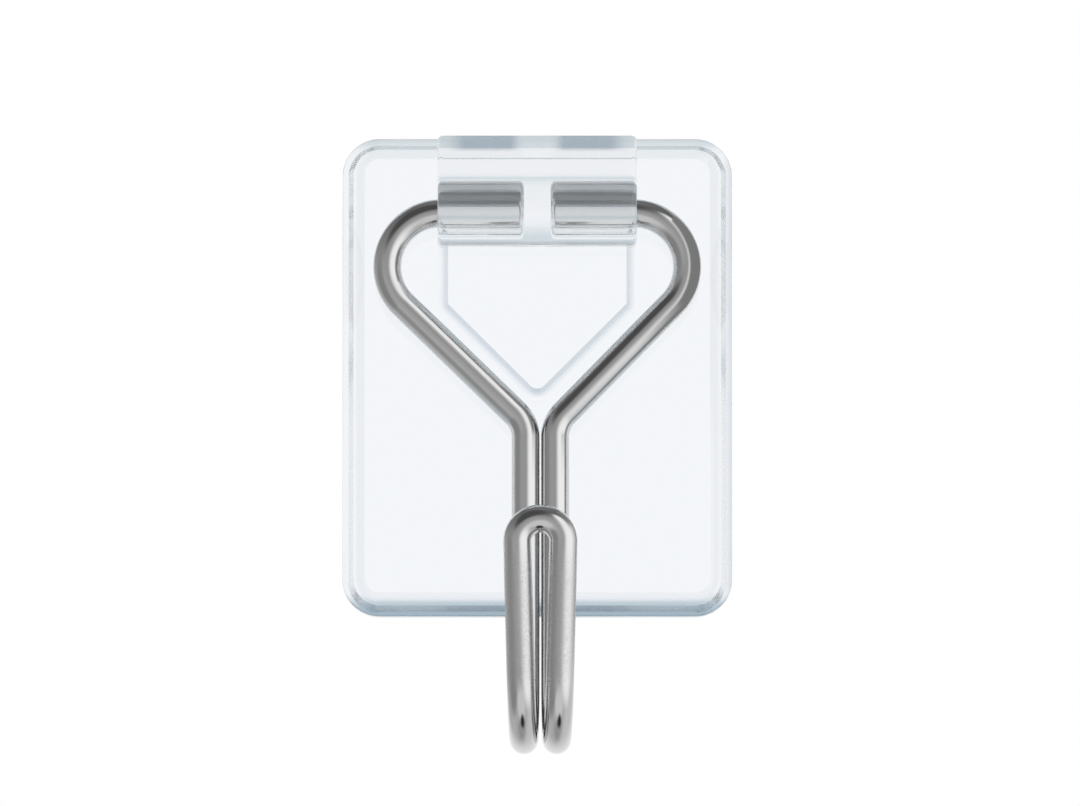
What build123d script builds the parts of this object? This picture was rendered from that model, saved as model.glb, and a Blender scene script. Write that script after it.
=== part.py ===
"""Small clear adhesive hook: a moulded plate on an adhesive pad, with a wire hook that swings in it.

Millimetres. X runs across the hook, Z runs up, and the wall is the plane y = 0, so the front faces -Y.
The origin is the centre of the pad's wall side.

Three separate pieces:
  adhesive_pad  clear pad between the wall and the plate
  base          clear moulding: bevelled plate, housing with two blind bores, shield-shaped boss
  wire_hook     one bent wire, whose straight ends turn in the two bores
"""

import os
from math import atan2, degrees, radians, tan

from build123d import *

# Adhesive pad.
pad_thickness = 0.8
pad_inset = 1.3
pad_corner_radius = 1.1

# Plate: a rounded rectangle with a wide bevel round its front.
plate_width = 25.0
plate_height = 30.8
plate_thickness = 2.2
plate_corner_radius = 2.4
bevel_width = 1.15
bevel_depth = 1.2

# Wire.
wire_diameter = 1.8
wire_plate_gap = 0.45
wire_end_chamfer = 0.15
hinge_drop = 5.1

# Housing: a block across the top of the plate, with a barrel standing proud of it round the bores.
housing_width = 12.76
housing_bevel_height = 1.05
housing_bevel_depth = 1.7
housing_bevel_radius = 0.45
housing_side_chamfer = 0.35
barrel_wall = 1.1
barrel_proud = 1.3
barrel_blend_radius = 0.4
bore_clearance = 0.3
wire_sag = 0.2
web_width = 1.7
bore_end_chamfer = 0.3
bore_end_play = 0.15
bore_mouth_chamfer = 0.1

# Boss under the housing, shaped like a shield, inside the wire's triangle.
boss_ledge = 0.12
boss_height = 0.5
boss_bevel = 0.8
boss_side_drop = 6.08
boss_side_radius = 1.0
boss_tip_radius = 1.4

# Wire route: two side loops, two diagonals, a double stem, a forward bend and a looped tip.
loop_width = 19.2
loop_bend_radius = 3.45
diagonal_angle = 45.0
neck_bend_radius = 2.1
stem_gap = 0.08
hook_drop = 34.2
hook_bend_radius = 3.9
hook_bend_flat = 0.1
bend_spread = 2.3
tip_height = 13.7
tip_spread = 3.0
tip_flat = 0.1
tip_lean_angle = 2.5

# Places worked out from the sizes above. The hinge hangs from the plate's top, and the boss from the hinge.
hinge_z = plate_height / 2 - hinge_drop
boss_side_end_z = hinge_z - boss_side_drop
wire_radius = wire_diameter / 2
bore_radius = wire_radius + bore_clearance
barrel_radius = bore_radius + barrel_wall
plate_back_y = -pad_thickness
plate_front_y = plate_back_y - plate_thickness
hinge_y = plate_front_y - wire_plate_gap - wire_radius
bore_z = hinge_z + wire_sag
housing_front_y = hinge_y - barrel_radius + barrel_proud


def wall_plane(y):
    """A sketch plane at this depth, with X to the right, Z up and its normal away from the wall."""
    return Plane(origin=(0, y, 0), x_dir=(1, 0, 0), z_dir=(0, -1, 0))


def adhesive_pad():
    """Flat clear pad, a little smaller than the plate."""
    outline = RectangleRounded(plate_width - 2 * pad_inset, plate_height - 2 * pad_inset, pad_corner_radius)
    return extrude(wall_plane(0) * outline, pad_thickness)


def plate():
    """Rounded rectangle with straight sides at the back and a bevel to a smaller front face."""
    outline = RectangleRounded(plate_width, plate_height, plate_corner_radius)
    side_depth = plate_thickness - bevel_depth
    sides = extrude(wall_plane(plate_back_y) * outline, side_depth)
    bevel_angle = degrees(atan2(bevel_width, bevel_depth))
    bevel = extrude(wall_plane(plate_back_y - side_depth) * outline, bevel_depth, taper=bevel_angle)
    return sides + bevel


def boss():
    """Shield-shaped boss with bevelled sides, a little wider than the housing and pointing down."""
    side_x = housing_width / 2 + boss_ledge
    outline = Polyline(
        (-side_x, bore_z),
        (-side_x, boss_side_end_z),
        (0, boss_side_end_z - side_x * tan(radians(diagonal_angle))),
        (side_x, boss_side_end_z),
        (side_x, bore_z),
        close=True,
    )
    shield = make_face(outline)
    corners = shield.vertices().sort_by(Axis.Y)
    shield = fillet(corners[:1], boss_tip_radius)
    corners = shield.vertices().filter_by_position(Axis.Y, boss_side_end_z - 0.001, boss_side_end_z + 0.001)
    shield = fillet(corners, boss_side_radius)
    taper_angle = degrees(atan2(boss_bevel, boss_height))
    return extrude(wall_plane(plate_front_y) * shield, boss_height, taper=taper_angle)


def housing_side_view():
    """Outline of the housing: a block flush with the plate's top, and a barrel round the bores below.

    The sketch's X is the depth and its Y the height. The block's top leans forwards in a wide bevel.
    """
    top_z = plate_height / 2
    back_y = plate_back_y - (plate_thickness - bevel_depth) / 2
    bevel_top = (housing_front_y + housing_bevel_depth, top_z)
    bevel_foot = (housing_front_y, top_z - housing_bevel_height)
    block = Polyline(
        (back_y, bore_z - barrel_radius),
        (back_y, top_z),
        bevel_top,
        bevel_foot,
        (housing_front_y, bore_z),
        (hinge_y, bore_z),
        (hinge_y, bore_z - barrel_radius),
        close=True,
    )
    outline = make_face(block) + Pos(hinge_y, bore_z) * Circle(barrel_radius)
    bevel_corners = [outline.vertices().sort_by_distance(corner)[0] for corner in (bevel_top, bevel_foot)]
    outline = fillet(bevel_corners, housing_bevel_radius)
    crease_z = bore_z + (barrel_radius**2 - (hinge_y - housing_front_y) ** 2) ** 0.5
    crease = outline.vertices().sort_by_distance((housing_front_y, crease_z))[0]
    return fillet(crease, barrel_blend_radius)


def housing():
    """The housing's block and barrel, with its end faces chamfered where they stand clear of the plate."""
    side_plane = Plane(origin=(-housing_width / 2, 0, 0), x_dir=(0, 1, 0), z_dir=(1, 0, 0))
    block = extrude(side_plane * housing_side_view(), housing_width)
    end_edges = block.faces().filter_by(Axis.X).edges()
    free_edges = [edge for edge in end_edges if edge.bounding_box().min.Y < plate_front_y - 0.001]
    return chamfer(free_edges, housing_side_chamfer)


def bore_tool(side):
    """Space of one blind bore, from its mouth to the web, chamfered at both ends."""
    length = (housing_width - web_width) / 2
    tool = Cylinder(bore_radius, length, align=(Align.CENTER, Align.CENTER, Align.MIN))
    tool = chamfer(tool.edges().filter_by(GeomType.CIRCLE).sort_by(Axis.Z)[:1], bore_end_chamfer)
    mouth = Cone(
        bore_radius,
        bore_radius + bore_mouth_chamfer,
        bore_mouth_chamfer,
        align=(Align.CENTER, Align.CENTER, Align.MAX),
    )
    tool += Pos(0, 0, length) * mouth
    start = Plane(origin=(side * web_width / 2, hinge_y, bore_z), x_dir=(0, 1, 0), z_dir=(side, 0, 0))
    return start * tool


def base():
    """The clear moulding: plate, boss and housing in one, less the two bores."""
    body = plate() + boss() + housing()
    return body - bore_tool(-1) - bore_tool(1)


def corner_tangent(radius, turn):
    """Distance from a corner to where its arc starts, for a turn in degrees."""
    return radius * tan(radians(turn) / 2)


def wire_route():
    """Centre line of the wire: straight runs joined by tangent arcs, the right side a mirror of the left."""
    end_x = web_width / 2 + bore_end_play
    loop_start_x = loop_width / 2 - loop_bend_radius
    loop_corner_x = loop_start_x + corner_tangent(loop_bend_radius, 180 - diagonal_angle)
    stem_x = wire_radius + stem_gap / 2
    neck_z = hinge_z - (loop_corner_x - stem_x) * tan(radians(diagonal_angle))
    bend_z = hinge_z - hook_drop
    front_turn = 90 - tip_lean_angle
    reach = corner_tangent(hook_bend_radius, 90) + corner_tangent(hook_bend_radius, front_turn)
    front_y = hinge_y - reach - hook_bend_flat
    tip_y = front_y - tip_height * tan(radians(tip_lean_angle))
    left = [
        Vector(-end_x, hinge_y, hinge_z),
        Vector(-loop_corner_x, hinge_y, hinge_z),
        Vector(-stem_x, hinge_y, neck_z),
        Vector(-stem_x, hinge_y, bend_z),
        Vector(-bend_spread / 2, front_y, bend_z),
        Vector(-tip_spread / 2, tip_y, bend_z + tip_height),
    ]
    right = [Vector(-point.X, point.Y, point.Z) for point in reversed(left)]
    tip_turn = (left[5] - left[4]).get_angle(right[0] - left[5])
    tip_bend_radius = (tip_spread - tip_flat) / 2 / tan(radians(tip_turn) / 2)
    radii = [loop_bend_radius, neck_bend_radius, hook_bend_radius, hook_bend_radius, tip_bend_radius]
    return FilletPolyline(*left, *right, radius=radii + radii[::-1])


def wire_hook():
    """The bent wire, with its two cut ends chamfered."""
    route = wire_route()
    section = Plane(origin=route @ 0, z_dir=route % 0) * Circle(wire_radius)
    wire = sweep(section, path=route)
    end_x = web_width / 2 + bore_end_play
    cut_ends = wire.edges().filter_by_position(Axis.X, -end_x - 0.001, end_x + 0.001)
    cut_ends = cut_ends.filter_by(lambda edge: edge.center().Z > bore_z - bore_radius)
    return chamfer(cut_ends, wire_end_chamfer)


parts = {
    "adhesive_pad": adhesive_pad(),
    "base": base(),
    "wire_hook": wire_hook(),
}

os.makedirs("parts", exist_ok=True)
for name, part in parts.items():
    export_step(part, f"parts/{name}.step")
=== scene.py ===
"""Looks of a small clear adhesive hook: a plate on a clear pad, and a bent wire that swings in it.

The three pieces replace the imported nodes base, adhesive_pad and wire_hook, and keep their shapes and
places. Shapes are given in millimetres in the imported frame, X right, Y into the wall, Z up, and become
metres where a mesh is made.
"""

from math import atan2, cos, degrees, pi, radians, sin, tan

import bpy
import numpy as np
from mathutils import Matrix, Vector


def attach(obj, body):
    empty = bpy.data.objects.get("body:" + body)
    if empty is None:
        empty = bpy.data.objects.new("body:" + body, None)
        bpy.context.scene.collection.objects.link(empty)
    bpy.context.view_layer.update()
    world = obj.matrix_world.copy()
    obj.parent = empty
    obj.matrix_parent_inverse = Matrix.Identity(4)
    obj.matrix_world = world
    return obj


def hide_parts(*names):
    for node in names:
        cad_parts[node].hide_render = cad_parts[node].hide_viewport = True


MM = 0.001

# Sizes shared with the solids.
PAD_THICKNESS = 0.8
PAD_INSET = 1.3
PLATE_WIDTH = 25.0
PLATE_HEIGHT = 30.8
PLATE_THICKNESS = 2.2
PLATE_CORNER_RADIUS = 2.4
BEVEL_WIDTH = 1.15
BEVEL_DEPTH = 1.2
WIRE_RADIUS = 0.9
WIRE_PLATE_GAP = 0.45
WIRE_END_CHAMFER = 0.15
HINGE_DROP = 5.1
HOUSING_WIDTH = 12.76
HOUSING_BEVEL_HEIGHT = 1.05
HOUSING_BEVEL_DEPTH = 1.7
BARREL_RADIUS = 2.3
BARREL_PROUD = 1.3
BARREL_BLEND_RADIUS = 0.4
BORE_RADIUS = 1.2
WIRE_SAG = 0.2
WEB_WIDTH = 1.7
BORE_END_PLAY = 0.15
BORE_MOUTH_CHAMFER = 0.1
BOSS_HEIGHT = 0.5
BOSS_BEVEL = 0.8
BOSS_LEDGE = 0.12
BOSS_SIDE_DROP = 6.08
BOSS_SIDE_RADIUS = 1.0
BOSS_TIP_RADIUS = 1.4
LOOP_WIDTH = 19.2
LOOP_BEND_RADIUS = 3.45
DIAGONAL_ANGLE = 45.0
NECK_BEND_RADIUS = 2.1
STEM_GAP = 0.08
HOOK_DROP = 34.2
HOOK_BEND_RADIUS = 3.9
HOOK_BEND_FLAT = 0.1
BEND_SPREAD = 2.3
TIP_HEIGHT = 13.7
TIP_SPREAD = 3.0
TIP_FLAT = 0.1
TIP_LEAN_ANGLE = 2.5

PLATE_BACK_Y = -PAD_THICKNESS
PLATE_FRONT_Y = PLATE_BACK_Y - PLATE_THICKNESS
PLATE_SIDE_Y = PLATE_BACK_Y - (PLATE_THICKNESS - BEVEL_DEPTH)
HINGE_Y = PLATE_FRONT_Y - WIRE_PLATE_GAP - WIRE_RADIUS
HINGE_Z = PLATE_HEIGHT / 2 - HINGE_DROP
BORE_Z = HINGE_Z + WIRE_SAG
BOSS_SIDE_END_Z = HINGE_Z - BOSS_SIDE_DROP
BOSS_FRONT_Y = PLATE_FRONT_Y - BOSS_HEIGHT
HOUSING_FRONT_Y = HINGE_Y - BARREL_RADIUS + BARREL_PROUD
WIRE_END_X = WEB_WIDTH / 2 + BORE_END_PLAY

# Small rounds that a mould leaves.
PLATE_BACK_ROUND = 0.12
PLATE_SIDE_ROUND = 0.3
PLATE_FRONT_ROUND = 1.1
PAD_EDGE_ROUND = 0.1
HOUSING_TOP_ROUND = 0.25
HOUSING_END_ROUND = 0.35
BORE_END_ROUND = 0.3
# Makes the boss's side hollow: 1 is straight.
BOSS_STEEPENING = 2.0
# Keeps the two bonded faces from lying in one plane.
BOND_GAP = 0.005

# The stem and tip of the bent wire sit a little to the right of the plate's middle, from one height down.
STEM_OFFSET_X = 0.2
STEM_OFFSET_HEIGHTS = (-4.0, 3.0)

# Closer than this is the same place.
TOLERANCE = 0.01
# Corners that stay crisp are rounded with this radius.
CRISP_RADIUS = 0.02
# A turned profile stays this far from its axis, so that its end rings keep all their points.
AXIS_RADIUS = 0.001

# Second and third materials of a piece, and the map of the wire.
BOND_SLOT = 1
BORE_SLOT = 2
WIRE_MAP = "length_girth"


# Outlines and profiles


def unit(vector):
    """The vector at length 1."""
    return vector / np.linalg.norm(vector)


def arc_at_corner(before, corner, after, radius, steps):
    """Points of the arc tangent to both runs that meet at a corner, in two or three dimensions."""
    run_in = unit(corner - before)
    run_out = unit(after - corner)
    turn = np.arccos(np.clip(run_in @ run_out, -1, 1))
    if turn < 1e-6 or radius <= 0:
        return [corner] * (steps + 1)
    inward = unit(run_out - (run_out @ run_in) * run_in)
    start = corner - run_in * radius * tan(turn / 2)
    centre = start + inward * radius
    angles = np.linspace(0, turn, steps + 1)
    return [centre + radius * (run_in * sin(a) - inward * cos(a)) for a in angles]


def rounded_path(corners, radii, steps):
    """An open path: straight runs joined by tangent arcs at its inner corners."""
    corners = [np.array(c, float) for c in corners]
    path = [corners[0]]
    for i, (radius, count) in enumerate(zip(radii, steps), start=1):
        path += arc_at_corner(corners[i - 1], corners[i], corners[i + 1], radius, count)
    path.append(corners[-1])
    return path


def inset_outline(corners, radii, inset, steps):
    """A closed outline, anticlockwise, moved inwards by inset, with its corners rounded to match."""
    corners = [np.array(c, float) for c in corners]
    count = len(corners)
    runs = [unit(corners[(i + 1) % count] - corners[i]) for i in range(count)]
    moved = []
    for i, corner in enumerate(corners):
        run_in, run_out = runs[i - 1], runs[i]
        normal_in = np.array([-run_in[1], run_in[0]])
        normal_out = np.array([-run_out[1], run_out[0]])
        shift = (normal_in + normal_out) / (1 + normal_in @ normal_out)
        moved.append(corner + shift * inset)
    points = []
    for i, corner in enumerate(moved):
        run_in, run_out = runs[i - 1], runs[i]
        convex = run_in[0] * run_out[1] - run_in[1] * run_out[0] > 0
        radius = max(radii[i] - inset, CRISP_RADIUS) if convex else radii[i] + inset
        points += arc_at_corner(moved[i - 1], corner, moved[(i + 1) % count], radius, steps)
    return points


# Meshes


def mesh_object(name, points, faces):
    """An object from points in millimetres."""
    mesh = bpy.data.meshes.new(name)
    mesh.from_pydata([tuple(c * MM for c in p) for p in points], [], faces)
    mesh.validate()
    thing = bpy.data.objects.new(name, mesh)
    bpy.context.scene.collection.objects.link(thing)
    return thing


def ring_faces(ring_count, ring_size):
    """Faces of a tube of rings, each with the same number of points, closed by one face at each end."""
    faces = []
    for r in range(ring_count - 1):
        low, high = r * ring_size, (r + 1) * ring_size
        for i in range(ring_size):
            j = (i + 1) % ring_size
            faces.append((low + i, low + j, high + j, high + i))
    faces.append(tuple(range(ring_size))[::-1])
    faces.append(tuple(range((ring_count - 1) * ring_size, ring_count * ring_size)))
    return faces


def lofted(name, corners, radii, levels, place, steps=12):
    """A solid from one outline at several levels, each an inset and a height. place gives x, y, z."""
    points = []
    for inset, height in levels:
        points += [place(a, b, height) for a, b in inset_outline(corners, radii, inset, steps)]
    ring_size = len(points) // len(levels)
    solid = mesh_object(name, points, ring_faces(len(levels), ring_size))
    outward_normals(solid)
    return solid


def lathed(name, profile, place, segments=96):
    """A solid turned about its own axis, from a profile of distances along the axis and radii."""
    points = []
    for along, radius in profile:
        for i in range(segments):
            angle = 2 * pi * i / segments
            points.append(place(along, radius * cos(angle), radius * sin(angle)))
    solid = mesh_object(name, points, ring_faces(len(profile), segments))
    outward_normals(solid)
    return solid


def outward_normals(solid):
    """Turns every face of a closed mesh outwards."""
    mesh = solid.data
    mesh.calc_loop_triangles()
    corners = np.array([v.co for v in mesh.vertices])
    volume = 0.0
    for triangle in mesh.loop_triangles:
        a, b, c = corners[list(triangle.vertices)]
        volume += np.dot(a, np.cross(b, c))
    if volume < 0:
        mesh.flip_normals()


def combine(target, tool, operation):
    """Joins the tool to the target or cuts it away, and removes the tool."""
    change = target.modifiers.new(operation.lower(), "BOOLEAN")
    change.object = tool
    change.operation = operation
    change.solver = "EXACT"
    apply_modifiers(target)
    bpy.data.objects.remove(tool)


def apply_modifiers(thing):
    """Gives the object the mesh that its modifiers make."""
    graph = bpy.context.evaluated_depsgraph_get()
    graph.update()
    mesh = bpy.data.meshes.new_from_object(thing.evaluated_get(graph))
    thing.modifiers.clear()
    thing.data = mesh


def smooth_shading(thing, sharp_angle=28):
    """Smooth shading whose large faces stay flat and whose real edges stay crisp."""
    mesh = thing.data
    mesh.polygons.foreach_set("use_smooth", [True] * len(mesh.polygons))
    mesh.set_sharp_from_angle(angle=radians(sharp_angle))
    weighting = thing.modifiers.new("weighted", "WEIGHTED_NORMAL")
    weighting.mode = "FACE_AREA"
    weighting.weight = 50
    weighting.keep_sharp = True
    apply_modifiers(thing)


# The clear moulding


def facing(a, b, depth):
    """Outlines drawn across the front: x, z, and depth as y."""
    return (a, depth, b)


def sideways(a, b, height):
    """Outlines drawn on the side view: y, z, and height as x."""
    return (height, a, b)


def rectangle(width, height):
    """Corners of an upright rectangle round the middle, anticlockwise."""
    x, z = width / 2, height / 2
    return [(-x, -z), (x, -z), (x, z), (-x, z)]


def plate():
    """Rounded rectangle whose sides stand straight at the back and lean in a bevel to the front."""
    # A flat ring of this width keeps the big front face level.
    front_run = 0.8
    profile = rounded_path(
        [
            (PAD_INSET, PLATE_BACK_Y),
            (0, PLATE_BACK_Y),
            (0, PLATE_SIDE_Y),
            (BEVEL_WIDTH, PLATE_FRONT_Y),
            (BEVEL_WIDTH + front_run, PLATE_FRONT_Y),
        ],
        [PLATE_BACK_ROUND, PLATE_SIDE_ROUND, PLATE_FRONT_ROUND],
        [4, 6, 8],
    )
    corners = rectangle(PLATE_WIDTH, PLATE_HEIGHT)
    radii = [PLATE_CORNER_RADIUS] * 4
    return lofted("base", corners, radii, profile, facing, steps=20)


def boss():
    """Shield under the housing, inside the wire's triangle, rooted in the plate."""
    # How deep it stands in the plate, and the width of a flat ring round its front face.
    root, front_run = 0.5, 0.1
    steps = 12
    side_x = HOUSING_WIDTH / 2 + BOSS_LEDGE
    tip_z = BOSS_SIDE_END_Z - side_x * tan(radians(DIAGONAL_ANGLE))
    corners = [
        (-side_x, BORE_Z),
        (-side_x, BOSS_SIDE_END_Z),
        (0, tip_z),
        (side_x, BOSS_SIDE_END_Z),
        (side_x, BORE_Z),
    ]
    radii = [CRISP_RADIUS, BOSS_SIDE_RADIUS, BOSS_TIP_RADIUS, BOSS_SIDE_RADIUS, CRISP_RADIUS]
    # The side is hollow: it leaves the plate gently and steepens to its crisp upper edge.
    profile = [(0, PLATE_FRONT_Y + root), (0, PLATE_FRONT_Y + CRISP_RADIUS)]
    for i in range(1, steps + 1):
        rise = (i / steps) ** BOSS_STEEPENING
        profile.append((BOSS_BEVEL * i / steps, PLATE_FRONT_Y - BOSS_HEIGHT * rise))
    profile.append((BOSS_BEVEL + front_run, BOSS_FRONT_Y))
    return lofted("boss", corners, radii, profile, facing, steps=10)


def housing():
    """Block flush with the plate's top, whose lower front stands proud as a barrel round the bores."""
    top_z = PLATE_HEIGHT / 2
    back_y = (PLATE_BACK_Y + PLATE_SIDE_Y) / 2
    blend_steps, barrel_steps = 12, 72
    # The blend's centre lies outside the barrel, one blend radius off both it and the upper face.
    blend_y = HOUSING_FRONT_Y - BARREL_BLEND_RADIUS
    reach = BARREL_RADIUS + BARREL_BLEND_RADIUS
    blend_z = BORE_Z + np.sqrt(reach**2 - (blend_y - HINGE_Y) ** 2)
    touch = atan2(blend_z - BORE_Z, blend_y - HINGE_Y)

    def outline(inset):
        """The side view moved inwards: the back, the top bevel, the hollow blend and the barrel."""
        radius = BARREL_RADIUS - inset
        hollow = BARREL_BLEND_RADIUS + inset
        upper = [
            (back_y, top_z - inset),
            (HOUSING_FRONT_Y + HOUSING_BEVEL_DEPTH, top_z - inset),
            (HOUSING_FRONT_Y + inset, top_z - HOUSING_BEVEL_HEIGHT - inset / 4),
            (HOUSING_FRONT_Y + inset, BORE_Z),
        ]
        points = [(back_y, BORE_Z - radius)]
        points += [tuple(p) for p in rounded_path(upper, [HOUSING_TOP_ROUND] * 2, [6, 6])[:-1]]
        for a in np.linspace(0, touch - pi, blend_steps + 1):
            points.append((blend_y + hollow * cos(a), blend_z + hollow * sin(a)))
        for a in np.linspace(touch, 1.5 * pi, barrel_steps + 1):
            points.append((HINGE_Y + radius * cos(a), BORE_Z + radius * sin(a)))
        return points

    side_x = HOUSING_WIDTH / 2
    end_run = 1.5
    edge = rounded_path(
        [(2 * HOUSING_END_ROUND, side_x), (0, side_x), (0, side_x - end_run)],
        [HOUSING_END_ROUND],
        [8],
    )[1:]
    levels = [(inset, x) for inset, x in edge]
    levels += [(inset, -x) for inset, x in reversed(edge)]
    points = []
    for inset, x in levels:
        points += [sideways(y, z, x) for y, z in outline(inset)]
    solid = mesh_object("housing", points, ring_faces(len(levels), len(points) // len(levels)))
    outward_normals(solid)
    return solid


def bore_tool(side):
    """Space of one blind bore, from its rounded inner end to past its mouth."""
    length = (HOUSING_WIDTH - WEB_WIDTH) / 2
    past_mouth = length + 1
    mouth = BORE_RADIUS + BORE_MOUTH_CHAMFER
    corners = [(0, AXIS_RADIUS), (0, BORE_RADIUS), (length - BORE_MOUTH_CHAMFER, BORE_RADIUS)]
    profile = rounded_path(corners, [BORE_END_ROUND], [10])
    profile += [(length, mouth), (past_mouth, mouth), (past_mouth, AXIS_RADIUS)]

    def place(along, across, up):
        return (side * (WEB_WIDTH / 2 + along), HINGE_Y + across, BORE_Z + up)

    return lathed("bore", profile, place)


def base():
    """The clear moulding: plate, boss and housing in one, less the two bores."""
    body = plate()
    combine(body, boss(), "UNION")
    combine(body, housing(), "UNION")
    for side in (-1, 1):
        combine(body, bore_tool(side), "DIFFERENCE")
    smooth_shading(body)
    return body


def adhesive_pad():
    """Flat pad behind the plate, a little smaller than it."""
    # A flat ring of this width keeps the big back face level.
    back_run = 0.5
    profile = rounded_path(
        [(PAD_INSET + back_run, 0), (PAD_INSET, 0), (PAD_INSET, PLATE_BACK_Y + BOND_GAP)],
        [PAD_EDGE_ROUND],
        [5],
    )
    corners = rectangle(PLATE_WIDTH, PLATE_HEIGHT)
    pad = lofted("pad", corners, [PLATE_CORNER_RADIUS] * 4, profile, facing, steps=20)
    smooth_shading(pad)
    return pad


def mark_bond(piece):
    """Gives the large face where pad and plate are bonded its own material."""
    for polygon in piece.data.polygons:
        x, y, z = polygon.center / MM
        on_plane = abs(y - PLATE_BACK_Y) < 2 * BOND_GAP and abs(polygon.normal.y) > 0.999
        in_middle = abs(x) < PLATE_WIDTH / 4 and abs(z) < PLATE_HEIGHT / 4
        polygon.material_index = BOND_SLOT if on_plane and in_middle else 0


def mark_bores(body):
    """Gives the upper walls of the bores their own material."""
    widest = BORE_RADIUS + BORE_MOUTH_CHAMFER + TOLERANCE
    for polygon in body.data.polygons:
        x, y, z = polygon.center / MM
        in_housing = abs(x) < HOUSING_WIDTH / 2 - TOLERANCE
        in_bore = in_housing and np.hypot(y - HINGE_Y, z - BORE_Z) < widest
        if in_bore and z > BORE_Z + BORE_CLOUD_RISE:
            polygon.material_index = BORE_SLOT


# The wire


def corner_tangent(radius, turn):
    """Distance from a corner to where its arc starts, for a turn in degrees."""
    return radius * tan(radians(turn) / 2)


def wire_route():
    """Centre line of the wire, from one cut end round both loops and the tip to the other."""
    loop_start_x = LOOP_WIDTH / 2 - LOOP_BEND_RADIUS
    loop_corner_x = loop_start_x + corner_tangent(LOOP_BEND_RADIUS, 180 - DIAGONAL_ANGLE)
    stem_x = WIRE_RADIUS + STEM_GAP / 2
    neck_z = HINGE_Z - (loop_corner_x - stem_x) * tan(radians(DIAGONAL_ANGLE))
    bend_z = HINGE_Z - HOOK_DROP
    reach = corner_tangent(HOOK_BEND_RADIUS, 90) + corner_tangent(HOOK_BEND_RADIUS, 90 - TIP_LEAN_ANGLE)
    front_y = HINGE_Y - reach - HOOK_BEND_FLAT
    tip_y = front_y - TIP_HEIGHT * tan(radians(TIP_LEAN_ANGLE))
    left = [
        (-WIRE_END_X, HINGE_Y, HINGE_Z),
        (-loop_corner_x, HINGE_Y, HINGE_Z),
        (-stem_x, HINGE_Y, neck_z),
        (-stem_x, HINGE_Y, bend_z),
        (-BEND_SPREAD / 2, front_y, bend_z),
        (-TIP_SPREAD / 2, tip_y, bend_z + TIP_HEIGHT),
    ]
    right = [(-x, y, z) for x, y, z in reversed(left)]
    rise = unit(np.array(left[5]) - np.array(left[4]))
    tip_turn = degrees(np.arccos(rise @ np.array([1.0, 0, 0])))
    tip_bend_radius = (TIP_SPREAD - TIP_FLAT) / 2 / tan(radians(tip_turn) / 2)
    radii = [LOOP_BEND_RADIUS, NECK_BEND_RADIUS, HOOK_BEND_RADIUS, HOOK_BEND_RADIUS, tip_bend_radius]
    steps = [40, 14, 26, 26, 26]
    path = rounded_path(left + right, radii + radii[::-1], steps + steps[::-1])
    return [shift_stem(point) for point in path]


def shift_stem(point):
    """Moves the lower part of the wire sideways, as bent wire never hangs dead true."""
    low, high = STEM_OFFSET_HEIGHTS
    share = np.clip((high - point[2]) / (high - low), 0, 1)
    share = share * share * (3 - 2 * share)
    return point + np.array([STEM_OFFSET_X * share, 0, 0])


def without_repeats(points):
    """The points, less those that only repeat the one before."""
    kept = [points[0]]
    for point in points[1:]:
        if np.linalg.norm(point - kept[-1]) > 1e-4:
            kept.append(point)
    return kept


def wire_hook(segments=64):
    """A round tube along the wire's route, with chamfered cut ends and a map of its length and girth."""
    path = without_repeats(wire_route())
    tangents = [unit(b - a) for a, b in zip(path, path[1:])]
    tangents = [tangents[0]] + [unit(a + b) for a, b in zip(tangents, tangents[1:])] + [tangents[-1]]
    chamfer = WIRE_END_CHAMFER
    stations = [(path[0], WIRE_RADIUS - chamfer), (path[0] + tangents[0] * chamfer, WIRE_RADIUS)]
    stations += [(point, WIRE_RADIUS) for point in path[1:-1]]
    stations += [(path[-1] - tangents[-1] * chamfer, WIRE_RADIUS), (path[-1], WIRE_RADIUS - chamfer)]
    directions = [tangents[0]] + tangents + [tangents[-1]]
    side = np.array([0.0, 0.0, 1.0])
    points = []
    lengths = [0.0]
    for i, ((centre, radius), tangent) in enumerate(zip(stations, directions)):
        side = unit(side - (side @ tangent) * tangent)
        other = np.cross(tangent, side)
        for k in range(segments):
            angle = 2 * pi * k / segments
            points.append(centre + radius * (side * cos(angle) + other * sin(angle)))
        if i:
            lengths.append(lengths[-1] + np.linalg.norm(centre - stations[i - 1][0]))
    wire = mesh_object("wire", points, ring_faces(len(stations), segments))
    outward_normals(wire)
    map_length_and_girth(wire, lengths, segments)
    smooth_shading(wire, sharp_angle=35)
    return wire


def map_length_and_girth(wire, lengths, segments):
    """Gives every face corner its distance along the wire and its angle round it, in millimetres."""
    mesh = wire.data
    layer = mesh.uv_layers.new(name=WIRE_MAP)
    girth = 2 * pi * WIRE_RADIUS / segments
    for polygon in mesh.polygons:
        columns = [mesh.loops[k].vertex_index % segments for k in polygon.loop_indices]
        wraps = max(columns) - min(columns) > segments / 2 and len(columns) == 4
        for k, column in zip(polygon.loop_indices, columns):
            ring = mesh.loops[k].vertex_index // segments
            turn = column + segments if wraps and column < segments / 2 else column
            layer.data[k].uv = (lengths[ring], turn * girth)


# Materials

PLASTIC_IOR = 1.57
CLEAR = (0.993, 0.997, 1.0)
# Tints of the plastic: the axis that each follows, where it starts, where it is full, and its colour.
# The first is the thick housing. The plate's right, top and lower edges after it are painted shade.
TINTS_AND_PAINTED_EDGE_SHADE = (
    ("Y", BOSS_FRONT_Y, HOUSING_FRONT_Y, (0.89, 0.895, 0.90)),
    ("X", 11.85, 12.4, (0.72, 0.745, 0.775)),
    ("Z", 14.65, 15.0, (0.80, 0.81, 0.82)),
    ("Z", -13.9, -14.75, (0.47, 0.56, 0.63)),
)
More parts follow.
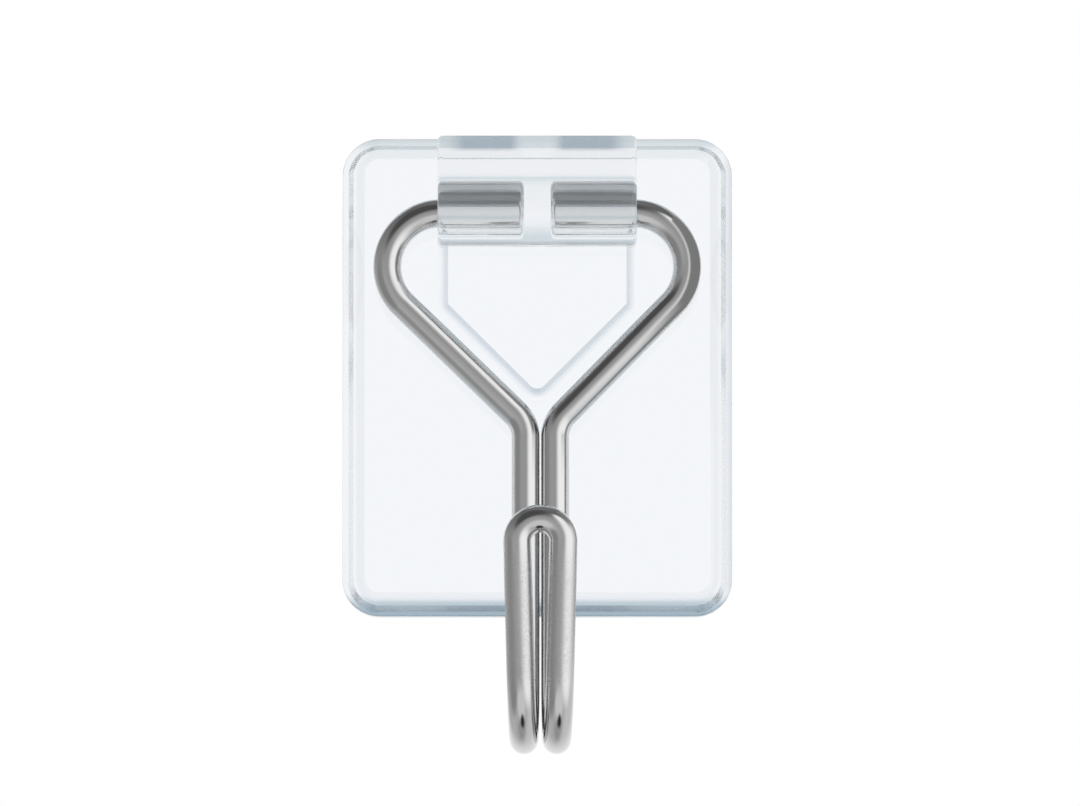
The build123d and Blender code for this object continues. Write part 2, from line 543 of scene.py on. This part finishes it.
# Painted reflection of the bores and wire: the housing's top bevel is darker in two stretches over the
# bores, this far from the middle.
PAINTED_BORE_REFLECTION_TINT = (0.34, 0.39, 0.46)
PAINTED_BORE_REFLECTION_INNER_X = (0.9, 1.8)
PAINTED_BORE_REFLECTION_OUTER_X = (6.1, 4.5)
PAINTED_BORE_REFLECTION_Z = (14.1, 14.4)
# Painted shade: soft darker lines along the top of the plate's bevel and the boss's side: colour, depths
# of rise and end.
PAINTED_SHADE_LINES = (
    ((0.84, 0.85, 0.87), (-2.6, -2.85), (-2.995, -2.97)),
    ((0.60, 0.64, 0.69), (-3.0, -3.3), (-3.495, -3.47)),
)
# The bores' walls are cloudy above this height over their axis. Painted shade takes them from pale to
# grey, darker towards the top, between two.
BORE_CLOUD_RISE = 0.42
BORE_PAINTED_SHADE_RISES = (0.5, 0.95)
BORE_CLEARNESS = 0.62
BORE_PALE = (0.70, 0.695, 0.69)
BORE_PAINTED_SHADE_GREY = (0.27, 0.265, 0.26)
# The pad's cut edge is frosted. Its faces count as cut where their normal is less along Y than this.
PAD_CUT_ROUGHNESS = 0.25
PAD_CUT_NORMAL = 0.5
# The wire's plating colour, and a painted highlight that makes it lighter in the bores: this far from the
# middle and this high.
WIRE_PLATING = (0.61, 0.61, 0.61)
WIRE_PAINTED_BORE_HIGHLIGHT = (0.86, 0.86, 0.86)
WIRE_BORE_X = (6.4, 6.1)
WIRE_BORE_Z = (7.5, 9.0)
# Things that hang on the hook rub its front legs dull, between these depths and heights.
RUBBED_ROUGHNESS = 0.52
RUBBED_DEPTHS = (-9.5, -11.5)
RUBBED_BELOW_Z = (-10.4, -14.4)
RUBBED_ABOVE_Z = (-22.6, -19.6)
# Nearly all of a noise texture's values lie in this range.
NOISE_RANGE = (0.3, 0.7)


class Tree:
    """Node tree of a material or world, with the kinds of node that the looks are made of."""

    def __init__(self, owner):
        owner.use_nodes = True
        self.nodes = owner.node_tree.nodes
        self.links = owner.node_tree.links

    def place(self):
        """The point on the piece, in metres."""
        return self.nodes.new("ShaderNodeTexCoord").outputs["Object"]

    def axes(self, vector):
        """The vector's X, Y and Z."""
        node = self.nodes.new("ShaderNodeSeparateXYZ")
        self.links.new(vector, node.inputs[0])
        return node.outputs

    def scaled(self, vector, scale):
        """The vector with each axis scaled."""
        node = self.nodes.new("ShaderNodeMapping")
        node.inputs["Scale"].default_value = scale
        self.links.new(vector, node.inputs["Vector"])
        return node.outputs["Vector"]

    def map_range(self, value, source, target, soft=False):
        """Turns a source range, whose lower end comes first, into a target range."""
        node = self.nodes.new("ShaderNodeMapRange")
        node.interpolation_type = "SMOOTHSTEP" if soft else "LINEAR"
        node.inputs["From Min"].default_value, node.inputs["From Max"].default_value = source
        node.inputs["To Min"].default_value, node.inputs["To Max"].default_value = target
        self.links.new(value, node.inputs["Value"])
        return node.outputs["Result"]

    def clouds(self, vector, scale, detail):
        """A number about 0.5 that varies in clouds."""
        node = self.nodes.new("ShaderNodeTexNoise")
        node.inputs["Scale"].default_value = scale
        node.inputs["Detail"].default_value = detail
        self.links.new(vector, node.inputs["Vector"])
        return node.outputs["Fac"]

    def noise(self, vector, scale, detail, low, high):
        """A number that varies in clouds between two values."""
        return self.map_range(self.clouds(vector, scale, detail), NOISE_RANGE, (low, high))

    def bump(self, vector, scale, detail, strength, distance):
        """Normals of a surface in cloudy relief."""
        node = self.nodes.new("ShaderNodeBump")
        node.inputs["Strength"].default_value = strength
        node.inputs["Distance"].default_value = distance
        self.links.new(self.clouds(vector, scale, detail), node.inputs["Height"])
        return node.outputs["Normal"]

    def share(self, value, start, full):
        """0 at the start and 1 at the full value, both in millimetres, with a soft change between."""
        source = (min(start, full) * MM, max(start, full) * MM)
        return self.map_range(value, source, (float(start > full), float(start < full)), soft=True)

    def maths(self, operation, first, second=None):
        """Each value is an output, and the second may be a fixed number."""
        node = self.nodes.new("ShaderNodeMath")
        node.operation = operation
        self.links.new(first, node.inputs[0])
        if isinstance(second, float):
            node.inputs[1].default_value = second
        elif second is not None:
            self.links.new(second, node.inputs[1])
        return node.outputs["Value"]

    def product(self, first, *others):
        """All the numbers multiplied."""
        for other in others:
            first = self.maths("MULTIPLY", first, other)
        return first

    def number(self, share, under, over):
        """Number under, or over where share is 1. Over is an output or a fixed number."""
        mix = self.nodes.new("ShaderNodeMix")
        self.links.new(share, mix.inputs["Factor"])
        self.links.new(under, mix.inputs[2])
        if isinstance(over, float):
            mix.inputs[3].default_value = over
        else:
            self.links.new(over, mix.inputs[3])
        return mix.outputs[0]

    def colour(self, share, under, over):
        """Colour under, or over where share is 1. Each is an output or a fixed colour."""
        mix = self.nodes.new("ShaderNodeMix")
        mix.data_type = "RGBA"
        self.links.new(share, mix.inputs["Factor"])
        for socket, value in ((mix.inputs[6], under), (mix.inputs[7], over)):
            if isinstance(value, tuple):
                socket.default_value = (*value, 1)
            else:
                self.links.new(value, socket)
        return mix.outputs[2]

    def show(self, share, under, over):
        """Shows the shader under, or over where share is 1."""
        mix = self.nodes.new("ShaderNodeMixShader")
        for socket, value in zip(mix.inputs, (share, under, over)):
            self.links.new(value, socket)
        self.links.new(mix.outputs[0], self.nodes["Material Output"].inputs["Surface"])


def new_material(name):
    """A material, its tree and its shader."""
    material = bpy.data.materials.new(name)
    tree = Tree(material)
    return material, tree, tree.nodes["Principled BSDF"]


def plastic_tint_and_painted_shade(tree):
    """Denser in the housing, with painted shade at three edges and in soft lines, and a painted
    reflection of the bores on the top bevel.
    """
    place = tree.axes(tree.place())
    colour = CLEAR
    # The housing's tint, then painted shade at the plate's right, top and lower edges.
    for axis, start, full, tint in TINTS_AND_PAINTED_EDGE_SHADE:
        colour = tree.colour(tree.share(place[axis], start, full), colour, tint)
    off_middle = tree.maths("ABSOLUTE", place["X"])
    # Painted reflection of the bores and wire on the housing's top bevel.
    painted_bore_reflection = tree.product(
        tree.share(off_middle, *PAINTED_BORE_REFLECTION_INNER_X),
        tree.share(off_middle, *PAINTED_BORE_REFLECTION_OUTER_X),
        tree.share(place["Z"], *PAINTED_BORE_REFLECTION_Z),
        tree.share(place["Y"], PLATE_FRONT_Y, BOSS_FRONT_Y),
    )
    colour = tree.colour(painted_bore_reflection, colour, PAINTED_BORE_REFLECTION_TINT)
    # Painted shade lines along the plate's bevel and the boss's side.
    for tint, rise, end in PAINTED_SHADE_LINES:
        line = tree.product(tree.share(place["Y"], *rise), tree.share(place["Y"], *end))
        colour = tree.colour(line, colour, tint)
    return colour


def clear_plastic():
    """Polished clear plastic with tints and painted shade by place, fine wear and the faint waves of a
    mould's flow.
    """
    material, tree, shader = new_material("clear_plastic")
    shader.inputs["IOR"].default_value = PLASTIC_IOR
    shader.inputs["Transmission Weight"].default_value = 1.0
    tree.links.new(plastic_tint_and_painted_shade(tree), shader.inputs["Base Color"])
    wear = tree.noise(tree.place(), scale=900, detail=4, low=0.005, high=0.03)
    tree.links.new(wear, shader.inputs["Roughness"])
    waves = tree.bump(tree.place(), scale=260, detail=2, strength=0.05, distance=0.00005)
    tree.links.new(waves, shader.inputs["Normal"])
    return material


def bore_wall():
    """The cloudy upper walls of the bores, with painted shade that makes them greyest at the top, and rub
    marks along them.
    """
    material, tree, shader = new_material("bore_wall")
    shader.inputs["IOR"].default_value = PLASTIC_IOR
    shader.inputs["Transmission Weight"].default_value = BORE_CLEARNESS
    # Painted shade: the cloudy wall darkens towards the top of the bore.
    low, high = (BORE_Z + rise for rise in BORE_PAINTED_SHADE_RISES)
    share = tree.share(tree.axes(tree.place())["Z"], low, high)
    tree.links.new(tree.colour(share, BORE_PALE, BORE_PAINTED_SHADE_GREY), shader.inputs["Base Color"])
    along = tree.scaled(tree.place(), (0.15, 1.0, 1.0))
    rubs = tree.noise(along, scale=2500, detail=3, low=0.17, high=0.23)
    tree.links.new(rubs, shader.inputs["Roughness"])
    return material


def clear_adhesive():
    """Clear soft adhesive, a little duller than the plastic, with a frosted cut edge."""
    material, tree, shader = new_material("clear_adhesive")
    shader.inputs["Base Color"].default_value = (0.995, 0.997, 0.998, 1)
    shader.inputs["IOR"].default_value = PLASTIC_IOR
    shader.inputs["Transmission Weight"].default_value = 1.0
    gloss = tree.noise(tree.place(), scale=700, detail=3, low=0.01, high=0.03)
    normal = tree.axes(tree.nodes.new("ShaderNodeTexCoord").outputs["Normal"])
    cut = tree.maths("LESS_THAN", tree.maths("ABSOLUTE", normal["Y"]), PAD_CUT_NORMAL)
    tree.links.new(tree.number(cut, gloss, PAD_CUT_ROUGHNESS), shader.inputs["Roughness"])
    return material


def bond():
    """The wetted face between adhesive and plastic. No air is in it, so nothing shines there."""
    material, _, shader = new_material("bond")
    shader.inputs["IOR"].default_value = 1.0
    shader.inputs["Roughness"].default_value = 0.0
    shader.inputs["Transmission Weight"].default_value = 1.0
    shader.inputs["Base Color"].default_value = (1.0, 1.0, 1.0, 1)
    return material


def bright_wire():
    """Plated wire with drawing lines and small dull patches, a painted highlight in the bores, rubbed in
    front.
    """
    material, tree, shader = new_material("bright_wire")
    shader.inputs["Metallic"].default_value = 1.0
    place = tree.axes(tree.place())
    # Painted highlight: the wire is lighter where it lies in the bores.
    in_bore = tree.product(
        tree.share(tree.maths("ABSOLUTE", place["X"]), *WIRE_BORE_X),
        tree.share(place["Z"], *WIRE_BORE_Z),
    )
    tree.links.new(tree.colour(in_bore, WIRE_PLATING, WIRE_PAINTED_BORE_HIGHLIGHT), shader.inputs["Base Color"])
    gloss = tree.noise(tree.place(), scale=1100, detail=3, low=0.06, high=0.11)
    rubbed = tree.product(
        tree.share(place["Y"], *RUBBED_DEPTHS),
        tree.share(place["Z"], *RUBBED_BELOW_Z),
        tree.share(place["Z"], *RUBBED_ABOVE_Z),
        tree.noise(tree.place(), scale=9000, detail=2, low=0.35, high=1.0),
    )
    tree.links.new(tree.number(rubbed, gloss, RUBBED_ROUGHNESS), shader.inputs["Roughness"])
    length_girth = tree.nodes.new("ShaderNodeUVMap")
    length_girth.uv_map = WIRE_MAP
    along = tree.scaled(length_girth.outputs["UV"], (0.25, 6.0, 1.0))
    lines = tree.bump(along, scale=3.0, detail=4, strength=0.12, distance=0.00002)
    tree.links.new(lines, shader.inputs["Normal"])
    return material


def floor_paint():
    """Matt off-white. Metal and clear plastic see past it to the studio's own background."""
    material, tree, shader = new_material("floor")
    shader.inputs["Roughness"].default_value = 0.7
    shader.inputs["Base Color"].default_value = (0.86, 0.86, 0.86, 1)
    rays = tree.nodes.new("ShaderNodeLightPath").outputs
    past = tree.maths("MAXIMUM", rays["Is Glossy Ray"], rays["Is Transmission Ray"])
    clear = tree.nodes.new("ShaderNodeBsdfTransparent")
    tree.show(past, shader.outputs[0], clear.outputs[0])
    return material


# Studio

# The camera looks up at the hook. The view's width and centre are at the hook, X and height.
CAMERA_ELEVATION = -6.0
CAMERA_DISTANCE = 1200.0
SENSOR_WIDTH = 36.0
VIEW_WIDTH = 69.12
VIEW_CENTRE = (0.176, -1.464)
FLOOR_Z = -160.0
FLOOR_REACH = 3000.0
LIGHT_BOUNCES = 48
# A dark card stands to the right of the hook: its corners are Y and Z. It fades out forwards between two
# depths, which lie closer to the wall beside the stem than beside the loop.
DARK_CARD_X = 14.5
DARK_CARD_CORNERS = ((-20.0, -18.0), (0.0, -18.0), (0.0, 18.0), (-20.0, 18.0))
DARK_CARD_FADE_BY_LOOP = (-20.0, -11.0)
DARK_CARD_FADE_BY_STEM = (-8.0, -4.0)
DARK_CARD_STEM_Z = (2.0, -6.0)
DARK_CARD_GREY = (0.3, 0.3, 0.3)
# Sky colours by degrees above the horizon.
SKY_THROUGH_PLASTIC = [
    (-90, (0.96, 0.97, 0.98)),
    (-60, (0.96, 0.98, 1.00)),
    (-45, (0.78, 0.84, 0.87)),
    (-33, (0.71, 0.79, 0.84)),
    (-24, (0.84, 0.89, 0.92)),
    (-14, (0.93, 0.95, 0.97)),
    (14, (0.93, 0.945, 0.97)),
    (20, (0.91, 0.93, 0.965)),
    (25, (0.87, 0.905, 0.945)),
    (31, (0.82, 0.87, 0.91)),
    (40, (0.72, 0.79, 0.83)),
    (46, (0.66, 0.73, 0.78)),
    (56, (0.62, 0.70, 0.75)),
    (66, (0.50, 0.54, 0.57)),
    (76, (0.38, 0.39, 0.40)),
    (90, (0.32, 0.32, 0.32)),
]
SKY_IN_METAL = [
    (-90, (0.45, 0.45, 0.45)),
    (-75, (0.42, 0.42, 0.42)),
    (-60, (0.58, 0.58, 0.58)),
    (-40, (0.66, 0.66, 0.66)),
    (-20, (0.56, 0.56, 0.56)),
    (0, (0.52, 0.52, 0.52)),
    (20, (0.36, 0.36, 0.36)),
    (40, (0.25, 0.25, 0.25)),
    (60, (0.17, 0.17, 0.17)),
    (90, (0.23, 0.23, 0.23)),
]
# Soft round patches of the sky: where its middle is, degrees out to which it is full and gone, colour.
PATCHES_IN_METAL = [
    ((0.82, 0.57, -0.17), 40, 75, (0.8, 0.8, 0.8)),
    ((0, 1.0, -0.14), 20, 60, (1.0, 1.0, 1.0)),
    ((-0.94, -0.34, -0.26), 15, 40, (0.34, 0.34, 0.34)),
    ((0, -0.7, -0.7), 15, 38, (0.85, 0.85, 0.85)),
    ((0.80, -0.59, 0.05), 12, 50, (1.35, 1.35, 1.35)),
    ((0.57, -0.63, 0.53), 8, 22, (1.3, 1.3, 1.3)),
    ((-0.3, -0.64, 0.7), 15, 35, (0.1, 0.1, 0.1)),
    ((0.06, -0.27, -0.96), 5, 17, (0.03, 0.03, 0.03)),
]


def view_axes():
    """The camera's back and up directions."""
    e = radians(CAMERA_ELEVATION)
    return Vector((0, -cos(e), sin(e))), Vector((0, sin(e), cos(e)))


def add_camera():
    """The camera, in front of the hook and a little below it."""
    back, up = view_axes()
    across, height = VIEW_CENTRE
    # The point of the hinge's plane that is in the middle of the view.
    target_z = (height - up.y * HINGE_Y) / up.z
    target = Vector((across, HINGE_Y, target_z)) * MM
    data = bpy.data.cameras.new("camera")
    data.sensor_width = SENSOR_WIDTH
    data.lens = SENSOR_WIDTH * CAMERA_DISTANCE / VIEW_WIDTH
    data.clip_start = 0.01
    data.clip_end = 20
    camera = bpy.data.objects.new("camera", data)
    camera.location = target + back * CAMERA_DISTANCE * MM
    camera.rotation_mode = "QUATERNION"
    camera.rotation_quaternion = (-back).to_track_quat("-Z", "Y")
    bpy.context.scene.collection.objects.link(camera)
    bpy.context.scene.camera = camera


def add_floor():
    """A wide floor, well below the hook."""
    points = [(x, y, FLOOR_Z) for x, y in rectangle(FLOOR_REACH, FLOOR_REACH)]
    floor = mesh_object("floor", points, [(0, 1, 2, 3)])
    floor.data.materials.append(floor_paint())


def add_dark_card():
    """A dark card beside the right loop, for the wire alone to mirror."""
    points = [(DARK_CARD_X, y, z) for y, z in DARK_CARD_CORNERS]
    card = mesh_object("dark_card", points, [(0, 1, 2, 3)])
    material, tree, shader = new_material("dark_card")
    tree.nodes.remove(shader)
    place = tree.axes(tree.place())
    fade = tree.number(
        tree.share(place["Z"], *DARK_CARD_STEM_Z),
        tree.share(place["Y"], *DARK_CARD_FADE_BY_LOOP),
        tree.share(place["Y"], *DARK_CARD_FADE_BY_STEM),
    )
    clear = tree.nodes.new("ShaderNodeBsdfTransparent")
    grey = tree.nodes.new("ShaderNodeEmission")
    grey.inputs["Color"].default_value = (*DARK_CARD_GREY, 1)
    tree.show(fade, clear.outputs[0], grey.outputs[0])
    card.data.materials.append(material)
    card.visible_camera = False
    card.visible_diffuse = False
    card.visible_transmission = False
    card.visible_shadow = False


def height_ramp(tree, direction, stops):
    """Sky colour by height above the horizon. Each stop is degrees and a colour."""
    ramp = tree.nodes.new("ShaderNodeValToRGB")
    share = tree.map_range(tree.axes(direction)["Z"], (-1.0, 1.0), (0.0, 1.0))
    tree.links.new(share, ramp.inputs["Fac"])
    marks = ramp.color_ramp.elements
    marks.remove(marks[1])
    marks[0].position = 0.0
    for i, (angle, colour) in enumerate(stops):
        mark = marks.new((sin(radians(angle)) + 1) / 2) if i else marks[0]
        mark.color = (*colour, 1)
    return ramp.outputs["Color"]


def patched(tree, direction, colour, patches):
    """Lays soft round patches over a sky colour."""
    for middle, full, gone, patch in patches:
        dot = tree.nodes.new("ShaderNodeVectorMath")
        dot.operation = "DOT_PRODUCT"
        dot.inputs[1].default_value = Vector(middle).normalized()
        tree.links.new(direction, dot.inputs[0])
        nearness = (cos(radians(gone)), cos(radians(full)))
        share = tree.map_range(dot.outputs["Value"], nearness, (0.0, 1.0), soft=True)
        colour = tree.colour(share, colour, patch)
    return colour


def studio_sky():
    """Plain white to the camera, and a soft studio to plastic and metal, darker overhead.

    Metal also mirrors a dark left side and a bright right side.
    """
    white = (1.0, 1.0, 1.0)
    world = bpy.data.worlds.new("studio")
    bpy.context.scene.world = world
    tree = Tree(world)
    # Each kind of ray has its own sky, so the sky isn't also sampled as a lamp.
    world.cycles.sampling_method = "NONE"
    direction = tree.nodes.new("ShaderNodeTexCoord").outputs["Generated"]
    through = height_ramp(tree, direction, SKY_THROUGH_PLASTIC)
    mirrored = height_ramp(tree, direction, SKY_IN_METAL)
    mirrored = patched(tree, direction, mirrored, PATCHES_IN_METAL)
    rays = tree.nodes.new("ShaderNodeLightPath").outputs
    colour = tree.colour(rays["Is Glossy Ray"], white, mirrored)
    colour = tree.colour(rays["Is Transmission Ray"], colour, through)
    colour = tree.colour(rays["Is Camera Ray"], colour, white)
    tree.links.new(colour, tree.nodes["Background"].inputs["Color"])


# The scene

bpy.context.scene.view_settings.view_transform = "Standard"
# Light that a clear plate guides to its far edge is reflected inside it many times.
bpy.context.scene.cycles.max_bounces = LIGHT_BOUNCES
bpy.context.scene.cycles.glossy_bounces = LIGHT_BOUNCES
bpy.context.scene.cycles.transmission_bounces = LIGHT_BOUNCES

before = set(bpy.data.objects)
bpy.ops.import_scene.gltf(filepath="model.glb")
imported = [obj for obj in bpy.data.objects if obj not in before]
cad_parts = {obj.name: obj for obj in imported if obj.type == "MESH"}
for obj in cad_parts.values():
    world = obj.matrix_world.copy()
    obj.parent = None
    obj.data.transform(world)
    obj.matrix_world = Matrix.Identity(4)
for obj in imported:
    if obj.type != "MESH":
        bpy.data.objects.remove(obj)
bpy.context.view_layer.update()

add_camera()
add_floor()
add_dark_card()
studio_sky()

for make, node, body, finish in (
    (base, "base", "mounting", clear_plastic),
    (adhesive_pad, "adhesive_pad", "mounting", clear_adhesive),
    (wire_hook, "wire_hook", "hook", bright_wire),
):
    piece = make()
    piece.name = f"{node}_finished"
    piece.data.materials.clear()
    piece.data.materials.append(finish())
    if body == "mounting":
        piece.data.materials.append(bond())
        mark_bond(piece)
    if node == "base":
        piece.data.materials.append(bore_wall())
        mark_bores(piece)
    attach(piece, body)
    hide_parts(node)
